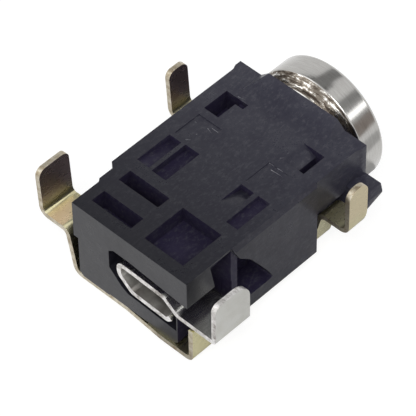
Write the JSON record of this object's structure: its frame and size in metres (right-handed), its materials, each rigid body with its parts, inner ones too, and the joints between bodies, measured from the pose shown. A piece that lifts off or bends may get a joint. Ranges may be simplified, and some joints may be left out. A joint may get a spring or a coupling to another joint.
{
  "type": "dc power jack",
  "caption": "Mid-mount barrel power socket: moulded housing in a folded metal shell with solder legs, turned front ring and centre pin.",
  "frame": {"origin": "middle of the overall width and length, at the lowest line of the front ring", "axes": "+Y out of the plug opening, +Z to the side whose legs reach through the board, +X to the side of the contact leg"},
  "size_m": [0.013, 0.0156, 0.0075],
  "materials": {
    "housing": "satin moulded black thermoplastic",
    "shell": "pale gold-flashed brass sheet, satin",
    "barrel": "nickel-plated turned brass, satin to bright",
    "centre_pin": "nickel-plated turned brass",
    "pin_contact": "silver-plated bronze strip, satin",
    "sleeve_spring": "bare copper alloy strip"
  },
  "bodies": {
    "root": {"housing": "housing", "shell": "shell", "barrel": "barrel", "centre_pin": "centre_pin", "pin_contact": "pin_contact", "sleeve_spring": "sleeve_spring"}
  },
  "joints": []
}
